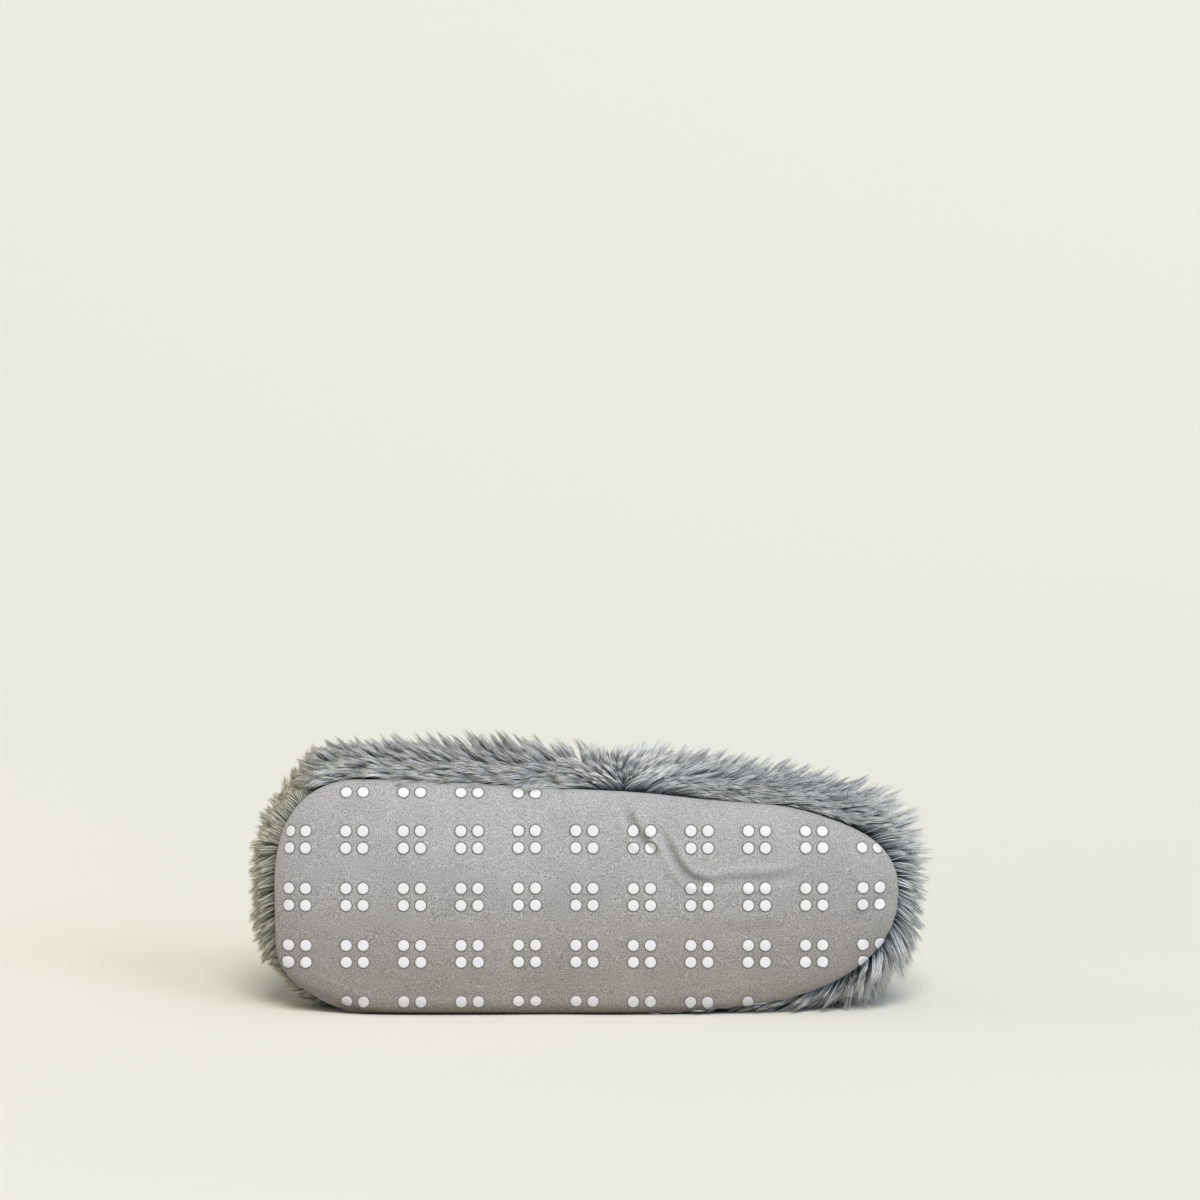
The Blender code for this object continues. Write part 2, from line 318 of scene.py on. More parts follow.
def make_short_nap():
    """A brushed cloth surface: fine grain, slow patches where the nap lies another way, and its height."""
    group = bpy.data.node_groups.new("short nap", "ShaderNodeTree")
    face = group.interface
    for name in ("Dark", "Light"):
        face.new_socket(name, in_out="INPUT", socket_type="NodeSocketColor")
    for name in ("Grains per Metre", "Patches per Metre", "Patchiness"):
        face.new_socket(name, in_out="INPUT", socket_type="NodeSocketFloat")
    face.new_socket("Color", in_out="OUTPUT", socket_type="NodeSocketColor")
    face.new_socket("Height", in_out="OUTPUT", socket_type="NodeSocketFloat")
    given = add_node(group, "NodeGroupInput").outputs
    place = add_node(group, "ShaderNodeTexCoord").outputs["Object"]
    stretched = add_node(group, "ShaderNodeMapping", {"Vector": place, "Scale": (1.25, 1.0, 0.8)}).outputs[0]
    grain = add_node(group, "ShaderNodeTexNoise", {
        "Vector": stretched, "Scale": given["Grains per Metre"], "Detail": 2.0, "Roughness": 0.6})
    patch = add_node(group, "ShaderNodeTexNoise", {
        "Vector": place, "Scale": given["Patches per Metre"], "Detail": 3.0, "Roughness": 0.55})
    sharper = add_node(group, "ShaderNodeMapRange", {
        "Value": grain.outputs["Fac"], "From Min": 0.36, "From Max": 0.64}).outputs["Result"]
    cloth = mixed(group, sharper, given["Dark"], given["Light"])
    factor = patch.outputs["Fac"]
    for operation, value in (("SUBTRACT", 0.5), ("MULTIPLY", given["Patchiness"]), ("ADD", 1.0)):
        factor = add_node(group, "ShaderNodeMath", {0: factor, 1: value}, operation=operation).outputs[0]
    add_node(group, "NodeGroupOutput", {"Color": scaled(group, cloth, factor), "Height": sharper})
    return group


short_nap = make_short_nap()


def nap_material(name, dark, light, grains, patches, patchiness, height, sheen):
    """Brushed cloth with its own colours, grain and sheen."""
    material, tree, shader = new_material(name)
    nap = add_node(tree, "ShaderNodeGroup", node_tree=short_nap)
    values = {"Dark": (*dark, 1), "Light": (*light, 1), "Grains per Metre": grains,
              "Patches per Metre": patches, "Patchiness": patchiness}
    for socket, value in values.items():
        nap.inputs[socket].default_value = value
    bump = add_node(tree, "ShaderNodeBump", {
        "Height": nap.outputs["Height"], "Distance": height, "Strength": 0.6})
    tree.links.new(nap.outputs["Color"], shader.inputs["Base Color"])
    tree.links.new(bump.outputs["Normal"], shader.inputs["Normal"])
    shader.inputs["Roughness"].default_value = 0.92
    shader.inputs["Specular IOR Level"].default_value = 0.2
    shader.inputs["Sheen Weight"].default_value = sheen
    shader.inputs["Sheen Roughness"].default_value = 0.45
    return material


suede = nap_material("suede", SUEDE_DARK, SUEDE_LIGHT, grains=2600, patches=45, patchiness=0.30,
                     height=0.0003, sheen=0.25)
tree = suede.node_tree
shader = tree.nodes["Principled BSDF"]
place = add_node(tree, "ShaderNodeTexCoord").outputs["Object"]
parts = add_node(tree, "ShaderNodeSeparateXYZ", {"Vector": place}).outputs
outwards = add_node(tree, "ShaderNodeMath", {0: parts["X"]}, operation="ABSOLUTE").outputs[0]
cloth = shader.inputs["Base Color"].links[0].from_socket
# Painted shade: darker and warmer towards the floor, for less light from above and warm light bounced off the
# floor.
cloth = tinted(tree, cloth, rising(tree, parts["Z"], PAINTED_LOW_SHADE_SPAN), SUEDE_PAINTED_LOW_SHADE, (1, 1, 1))
# Darker towards the heel and toe ends.
cloth = tinted(tree, cloth, rising(tree, outwards, ENDS_SPAN), (1, 1, 1), SUEDE_ENDS)
# Painted contact shadow along the sole's lowest few millimetres.
cloth = tinted(tree, cloth, rising(tree, parts["Z"], PAINTED_CONTACT_SPAN), SUEDE_PAINTED_CONTACT_SHADOW, (1, 1, 1))
# Painted shade in the folds' troughs and a painted highlight on their ridges.
crease = add_node(tree, "ShaderNodeAttribute", attribute_name="crease").outputs["Fac"]
fold_shade_factor = add_node(tree, "ShaderNodeMapRange", {
    "Value": crease, "From Min": -1.0, "From Max": 1.0,
    "To Min": 1 + CREASE_SHADE, "To Max": 1 - CREASE_SHADE})
tree.links.new(scaled(tree, cloth, fold_shade_factor.outputs["Result"]), shader.inputs["Base Color"])
sole.data.materials.append(suede)
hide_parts("sole")


# Grips. Raised white dots of soft rubber printed on the suede before it was cut, so they bend round the
# sole's edge and end at the seam. They stand in squares of four on a plain grid.
GRIP_PITCH = 0.0242
GRIP_START = (0.0105, 0.0025)
DOT_RADIUS = 0.0024
DOT_SPACING = 0.0036
DOT_HEIGHT = 0.00045
DOT_RIM = 0.00052
DOT_SIDES = 20
EDGE_ROUND = 0.013
STEEP_TURN = math.radians(20)
SEAM_MARGIN = 0.0015
GRIP_WHITE = (0.606, 0.606, 0.628)
# Painted shade: the dots darken towards the floor.
GRIP_PAINTED_LOW_SHADE = (0.80, 0.78, 0.76)
GRIP_PAINTED_SHADE_SPAN = (0.0, 0.025)
# Painted shade: a dark ring round each dot where its raised edge meets the suede.
GRIP_PAINTED_RIM_SHADE = (0.150, 0.146, 0.138)
RIM_HEIGHT = 0.00010
INSETS = (DOT_RIM, 0.05 * DOT_RADIUS, 0.12 * DOT_RADIUS, 0.35 * DOT_RADIUS)

edge_turn = np.linspace(0, math.pi / 2, 200)
edge_steps = np.hypot(EDGE_ROUND * np.cos(edge_turn), EDGE_RISE * np.sin(edge_turn))
edge_walk = np.concatenate([[0], np.cumsum((edge_steps[1:] + edge_steps[:-1]) / 2 * edge_turn[1])])


def on_cover(places, heights):
    """Points of the flat cover as they lie on the sole, bent round its edge, lifted by their heights."""
    depth, outward = edge_depths(places)
    turn = np.interp(EDGE_ROUND - depth, edge_walk, edge_turn)
    bent = np.where(depth < EDGE_ROUND, EDGE_ROUND * (1 - np.sin(turn)), depth)
    places = places - outward * (bent - depth)[:, None]
    level = tread + EDGE_RISE * (1 - np.cos(turn)) + toe_lift(places[:, 0])
    lifted = []
    for (x, z), y, height, bend in zip(places, level, heights, turn):
        if bend < STEEP_TURN:
            place, normal, face, gap = cover_tree.ray_cast((x, tread - 0.02, z), (0, 1, 0))
        else:
            place, normal, face, gap = cover_tree.find_nearest((x, y, z))
        lifted.append(place + normal * height)
    return np.array(lifted)


def dot_pattern():
    """One dot: points in its own plane, their heights, whether they lie on its rim, and its faces."""
    shape = bmesh.new()
    bmesh.ops.create_circle(shape, segments=DOT_SIDES, radius=DOT_RADIUS + DOT_RIM, cap_ends=True)
    top = shape.faces[:]
    for inset in INSETS:
        bmesh.ops.inset_individual(shape, faces=top, thickness=inset)
    bmesh.ops.poke(shape, faces=top)
    flat = np.array([vertex.co[:2] for vertex in shape.verts])
    share = np.linalg.norm(flat, axis=1) / DOT_RADIUS
    on_rim = share > 0.98
    heights = np.where(on_rim, RIM_HEIGHT, DOT_HEIGHT * np.sqrt(np.clip(1 - 0.4 * share**6, 0, 1)))
    faces = [[vertex.index for vertex in face.verts] for face in shape.faces]
    shape.free()
    return flat, heights, on_rim, faces


def dot_places():
    """Middles of all dots of the grid, those past the sole's edge too."""
    columns = math.ceil(sole_length / GRIP_PITCH) + 1
    rows = math.ceil((sole_high.z - sole_low.z) / GRIP_PITCH) + 1
    for column in range(columns):
        for row in range(rows):
            x = heel_end + GRIP_START[0] + column * GRIP_PITCH
            z = GRIP_START[1] + row * GRIP_PITCH
            for side in (-1, 1):
                for level in (-1, 1):
                    yield x + side * DOT_SPACING, z + level * DOT_SPACING


cover = bmesh.new()
cover.from_mesh(sole.data)
cover_tree = BVHTree.FromBMesh(cover)
cover.free()
dot_flat, dot_heights, dot_rim, dot_faces = dot_pattern()
middles = np.array(list(dot_places()))
inside = edge_depths(middles)[0]
print_end = EDGE_ROUND - edge_walk[-1] + SEAM_MARGIN
middles = middles[inside - DOT_RADIUS > print_end]
flat_points = (middles[:, None, :] + dot_flat).reshape(-1, 2)
grip_faces = []
for first in range(0, len(flat_points), len(dot_flat)):
    grip_faces += [[first + corner for corner in face] for face in dot_faces]
grip_mesh = bpy.data.meshes.new("grips")
grip_points = on_cover(flat_points, np.tile(dot_heights, len(middles)))
grip_mesh.from_pydata(grip_points.tolist(), [], grip_faces)
rims = np.tile(dot_rim, len(middles)).astype(np.float32)
grip_mesh.attributes.new("rim", "FLOAT", "POINT").data.foreach_set("value", rims)
turned = bmesh.new()
turned.from_mesh(grip_mesh)
bmesh.ops.recalc_face_normals(turned, faces=turned.faces)
if sum(face.normal.y * face.calc_area() for face in turned.faces) > 0:
    bmesh.ops.reverse_faces(turned, faces=turned.faces)
turned.to_mesh(grip_mesh)
turned.free()
grip_mesh.shade_smooth()
material, tree, shader = new_material("grip rubber")
rim = add_node(tree, "ShaderNodeAttribute", attribute_name="rim").outputs["Fac"]
place = add_node(tree, "ShaderNodeTexCoord").outputs["Object"]
weave = add_node(tree, "ShaderNodeTexNoise", {"Vector": place, "Scale": 1600.0, "Detail": 2.0}).outputs["Fac"]
white = mixed(tree, weave, tuple(0.94 * value for value in GRIP_WHITE), GRIP_WHITE)
parts = add_node(tree, "ShaderNodeSeparateXYZ", {"Vector": place}).outputs
# Painted shade: the dots darken towards the floor.
white = tinted(tree, white, rising(tree, parts["Z"], GRIP_PAINTED_SHADE_SPAN), GRIP_PAINTED_LOW_SHADE, (1, 1, 1))
# Painted shade on the dark ring round each dot.
colour = mixed(tree, rim, white, GRIP_PAINTED_RIM_SHADE)
bump = add_node(tree, "ShaderNodeBump", {"Height": weave, "Distance": 0.0002, "Strength": 0.35})
tree.links.new(colour, shader.inputs["Base Color"])
tree.links.new(bump.outputs["Normal"], shader.inputs["Normal"])
shader.inputs["Roughness"].default_value = 0.55
shader.inputs["Specular IOR Level"].default_value = 0.35
grip_mesh.materials.append(material)
grips = link_piece("grips", grip_mesh)


# Insole. A plush-covered board that lies on the sole inside the wall, a little hollowed by the foot at the
# heel and under the ball.
INSOLE_VOXEL = 0.0025
INSOLE_SOFTENING = 5
INSOLE_HOLLOW = 0.0010
INSOLE_HOLLOWS = ((0.045, 0.040), (0.185, 0.050))
INSOLE_HOLLOW_HALF_WIDTH = 0.032
INSOLE_LUMPS = 0.0003
PLUSH_DARK = (0.36, 0.36, 0.355)
PLUSH_LIGHT = (0.58, 0.58, 0.57)


def plush_material(name):
    """Pale short plush, as the insole and the lining have it."""
    return nap_material(name, PLUSH_DARK, PLUSH_LIGHT, grains=700, patches=60, patchiness=0.25,
                        height=0.0009, sheen=0.4)


insole = even_copy("insole", "insole_pad", INSOLE_VOXEL, INSOLE_SOFTENING)
points = read_points(insole.data)
top_side = np.clip(read_normals(insole.data)[:, 1], 0, 1) ** 2
across = (points[:, 2] - sole_middle) / INSOLE_HOLLOW_HALF_WIDTH
for middle, reach in INSOLE_HOLLOWS:
    away = np.hypot((points[:, 0] - heel_end - middle) / reach, across)
    points[:, 1] -= INSOLE_HOLLOW * np.exp(-away**2) * top_side
points[:, 1] += INSOLE_LUMPS * wavy(points, 0.004) * top_side
write_points(insole.data, points)
insole.data.materials.append(plush_material("insole plush"))
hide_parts("insole")


# Upper. One wall of knitted fur backing with padding and a plush lining, sewn to the sole's edge and open
# at the collar. Each rib of the wall runs up from the sole, bulges out and turns in to the collar.
WALL = 0.0032
UPPER_INSET = 0.0022
FEATHER_HEIGHT = 0.0153
SIDE_BULGE = 0.013
COLLAR_MIDDLE = 0.073
COLLAR_HALF_LENGTH = 0.059
COLLAR_HALF_WIDTH = 0.0305
THROAT_INWARD = 0.004
HEEL_HEIGHT = 0.080
SIDE_HEIGHT = 0.067
THROAT_HEIGHT = 0.083
LOWER_HANDLE_RISE = 0.52
UPPER_HANDLE_RISE = 0.76
UPPER_HANDLE_RUN = 0.32
HIDE_RIBS = 168
HIDE_ROWS = 30
HIDE_THICKNESS = 0.0010
HIDE_DARK = (0.13, 0.137, 0.143)
HIDE_LIGHT = (0.25, 0.263, 0.275)


def section_middles(along, outline):
    """Height above the floor of the middle of the sole at distances from the heel."""
    count = len(outline)
    half = count // 2
    low = outline[:half]
    high = outline[half:][::-1]
    low = low[np.argsort(low[:, 0])]
    high = high[np.argsort(high[:, 0])]
    x = along + heel_end
    return (np.interp(x, low[:, 0], low[:, 1]) + np.interp(x, high[:, 0], high[:, 1])) / 2


def collar_points(outline):
    """The collar's edge, one point for each rib."""
    along = outline[:, 0] - heel_end
    reach = np.where(along < COLLAR_MIDDLE, COLLAR_MIDDLE, sole_length - COLLAR_MIDDLE)
    angle = np.arccos(np.clip((COLLAR_MIDDLE - along) / reach, -1, 1))
    side = np.where(np.arange(len(outline)) <= len(outline) // 2, -1, 1)
    to_heel = np.maximum(np.cos(angle), 0)
    to_throat = np.maximum(-np.cos(angle), 0)
    at = COLLAR_MIDDLE - COLLAR_HALF_LENGTH * np.cos(angle)
    across = section_middles(at, outline) + side * COLLAR_HALF_WIDTH * np.sin(angle)
    across = across - THROAT_INWARD * to_throat
    height = SIDE_HEIGHT + (HEEL_HEIGHT - SIDE_HEIGHT) * to_heel**2
    height = height + (THROAT_HEIGHT - SIDE_HEIGHT) * to_throat**2
    return np.column_stack([at + heel_end, height + tread, across])


def wall_points(ribs, rows):
    """Outer face of the wall: rings from the sole's edge up to the collar, pressed flat on the floor."""
    outline = sole_outline(ribs)
    outward = outline_normals(outline)
    plan = outline - outward * UPPER_INSET
    foot = np.column_stack([plan[:, 0], tread + FEATHER_HEIGHT + toe_lift(plan[:, 0]), plan[:, 1]])
    foot[:, 2] = np.maximum(foot[:, 2], 0)
    collar = collar_points(outline)
    rise = (collar - foot) * (0, 1, 0)
    out = np.column_stack([outward[:, 0], np.zeros(ribs), outward[:, 1]])
    lower = foot + out * SIDE_BULGE + rise * LOWER_HANDLE_RISE
    upper = foot + (collar - foot) * (1, 0, 1) * UPPER_HANDLE_RUN + rise * UPPER_HANDLE_RISE
    rings = []
    for share in np.linspace(0, 1, rows + 1):
        rest = 1 - share
        curve = foot * rest**3 + lower * 3 * rest**2 * share
        rings.append(curve + upper * 3 * rest * share**2 + collar * share**3)
    rings = np.array(rings)
    rings[..., 2] = np.maximum(rings[..., 2], 0)
    return rings


def wall_normals(rings):
    """Directions out of the wall at each of its points."""
    normal = np.cross(np.gradient(rings, axis=0), np.roll(rings, -1, axis=1) - np.roll(rings, 1, axis=1))
    normal /= np.linalg.norm(normal, axis=2, keepdims=True)
    middle = rings.mean(axis=(0, 1))
    return normal * np.sign(np.sum(normal * (rings - middle)))


def wall_shell(name, rings):
    """A closed tube of cloth: its rings run up one face of the wall and down the other."""
    rows, ribs = rings.shape[:2]
    shape = bmesh.new()
    bmesh.ops.create_grid(shape, x_segments=ribs, y_segments=rows, size=1)
    for vertex in shape.verts:
        rib = round((vertex.co.x + 1) / 2 * ribs)
        row = round((vertex.co.y + 1) / 2 * rows)
        vertex.co = rings[row % rows, rib % ribs]
    bmesh.ops.remove_doubles(shape, verts=shape.verts, dist=1e-7)
    bmesh.ops.recalc_face_normals(shape, faces=shape.faces)
    mesh = bpy.data.meshes.new(name)
    shape.to_mesh(mesh)
    shape.free()
    mesh.shade_smooth()
    return link_piece(name, mesh)


hide_rings = wall_points(HIDE_RIBS, HIDE_ROWS)
hide_normals = wall_normals(hide_rings)
hide_inside = hide_rings - hide_normals * HIDE_THICKNESS
hide = wall_shell("upper_backing", np.concatenate([hide_rings, hide_inside[::-1]]))
# The backing's dark colour is partly painted shade, so the gaps between the locks read as deep pile.
knit = nap_material("fur backing", HIDE_DARK, HIDE_LIGHT, grains=500, patches=90, patchiness=0.3,
                    height=0.0006, sheen=0.0)
hide.data.materials.append(knit)
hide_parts("upper")


# Lining. Pale short plush sewn to the backing at the collar and caught in the seam at the sole, soft enough
# to look slightly lumpy.
LINING_GAP = 0.0009
LINING_LUMPS = 0.00045
ROLL_STEPS = 5

lumps = LINING_LUMPS * wavy(hide_rings.reshape(-1, 3), 0.005).reshape(hide_rings.shape[:2])
lining_back = hide_rings - hide_normals * LINING_GAP
lining_face = hide_rings - hide_normals * (WALL + lumps)[..., None]
roll_middle = (lining_back[-1] + lining_face[-1]) / 2
roll_arm = (lining_back[-1] - lining_face[-1]) / 2
roll_up = hide_rings[-1] - hide_rings[-2]
roll_up *= np.linalg.norm(roll_arm, axis=1, keepdims=True) / np.linalg.norm(roll_up, axis=1, keepdims=True)
roll = []
for turn in np.linspace(0, math.pi, ROLL_STEPS + 2)[1:-1]:
    roll.append(roll_middle + roll_arm * math.cos(turn) + roll_up * math.sin(turn))
lining = wall_shell("upper_lining", np.concatenate([lining_back, roll, lining_face[::-1]]))
lining.data.materials.append(plush_material("lining plush"))


# Fur. Long straight fibres of the faux fur, in locks that lean the way the pile was brushed: to the heel
# behind the side seam and to the toe in front of it, over the sole's edge, and flat where the floor presses.
FUR_SEED = 11
STRANDS = 49500
LOCKS = 4000
STRAND_LENGTH = 0.0170
LENGTH_SPREAD = 0.20
STRAND_RADIUS = 0.00022
LEAN_SPREAD = 0.15
LOCK_SWAY = math.radians(20)
STRAND_SWAY = math.radians(9)
LOCK_PULL = 0.84
COMB_REACH = 0.011
SOLE_CLEARANCE = 0.0004
FLOOR_CLEARANCE = 0.0003
SHADES = 16
RING_SHARES = (0.0, 0.36, 0.72, 1.0)
RING_WIDTHS = (0.9, 1.0, 0.7)
FUR_PIECES = ("fur_heel", "fur_quarter_front", "fur_vamp_rear", "fur_vamp_front", "fur_toe")
# Painted light and shade along each fibre: dark at the root where the pile shades itself, the fibre's own
# blue-grey in the middle, lighter and warmer at the tip for light through the fibre.
FUR_ROOT = (0.139, 0.155, 0.168)
FUR_MIDDLE = (0.322, 0.357, 0.388)
FUR_TIP = (0.545, 0.555, 0.538)
# Painted light: a warm tint on fibres near the heel end for warm light bounced onto them from the floor.
FUR_PAINTED_BOUNCE = (1.05, 0.99, 0.86)
BOUNCE_LEVELS = 4
BOUNCE_SPAN = (0.010, 0.034)
SEAM_ALONG = 0.149
SEAM_REACH = 0.010
PRESSED_HEIGHT = 0.0008
PRESSED_DENSITY = 0.15
EDGE_DENSITY = 1.7
SEAM_DENSITY = 0.9
UPPER_DENSITY = 0.75
TOE_SWAY = 1.3
LOCK_SHADE = 0.38
# Painted light and shade on the fibres by place: lighter at the toe, the heel and the seam, darker on the
# rear top and under the sole.
TOE_PAINTED_LIGHT = 0.22
HEEL_PAINTED_LIGHT = 0.08
SEAM_PAINTED_LIGHT = 0.30
REAR_PAINTED_SHADE = 0.17
UNDER_PAINTED_SHADE = 0.35

